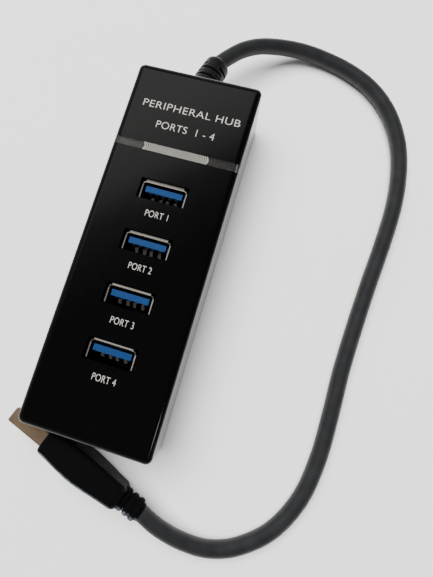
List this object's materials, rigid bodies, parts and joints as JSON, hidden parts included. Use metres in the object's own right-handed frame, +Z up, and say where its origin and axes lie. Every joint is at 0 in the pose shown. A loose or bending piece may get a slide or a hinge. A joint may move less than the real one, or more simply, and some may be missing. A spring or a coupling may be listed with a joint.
{
  "type": "usb hub",
  "caption": "Slim upright-socket peripheral hub: a glossy black bar with upward facing ports, a clear light bar and a short captive cord with its plug.",
  "frame": {"origin": "Middle of the underside of the hub's body, on the table; the cord, its strain relief and its plug are left out of the box.", "axes": "+Y along the body towards the cord's outlet, +X across it, +Z up, out of the sockets."},
  "size_m": [0.0954, 0.1654, 0.023],
  "materials": {
    "case_plastic": "moulded black plastic, satin gloss",
    "cover_plastic": "polished piano black plastic",
    "clear_plastic": "clear acrylic with a ridged middle",
    "board_laminate": "green solder mask",
    "shield_steel": "nickel plated sheet steel",
    "blue_insulator": "moulded blue plastic",
    "contact_metal": "gold plated contacts",
    "chip_epoxy": "black moulding compound",
    "ceramic": "sintered ceramic",
    "lamp_lens": "clear epoxy lamp",
    "screw_steel": "zinc plated steel",
    "wire_insulation": "coloured wire insulation",
    "soft_rubber": "satin black moulded elastomer",
    "cord_jacket": "satin black cord jacket",
    "core_plastic": "natural moulded plastic"
  },
  "bodies": {
    "root": {"lower_case": "case_plastic", "top_cover": "cover_plastic", "light_bar": "clear_plastic", "circuit_board": "board_laminate", "port_shield_1": "shield_steel", "port_shield_2": "shield_steel", "port_shield_3": "shield_steel", "port_shield_4": "shield_steel", "port_insulator_1": "blue_insulator", "port_insulator_2": "blue_insulator", "port_insulator_3": "blue_insulator", "port_insulator_4": "blue_insulator", "port_contacts_1": "contact_metal", "port_contacts_2": "contact_metal", "port_contacts_3": "contact_metal", "port_contacts_4": "contact_metal", "hub_controller": "chip_epoxy", "crystal": "shield_steel", "voltage_regulator": "chip_epoxy", "capacitors": "ceramic", "resistors": "chip_epoxy", "indicator_lamps": "lamp_lens", "case_screws": "screw_steel", "inner_wires": "wire_insulation", "strain_relief": "soft_rubber", "cord": "cord_jacket", "plug_shell": "shield_steel", "plug_insulator": "blue_insulator", "plug_contacts": "contact_metal", "plug_inner_mould": "core_plastic", "plug_grip": "soft_rubber"}
  },
  "joints": []
}
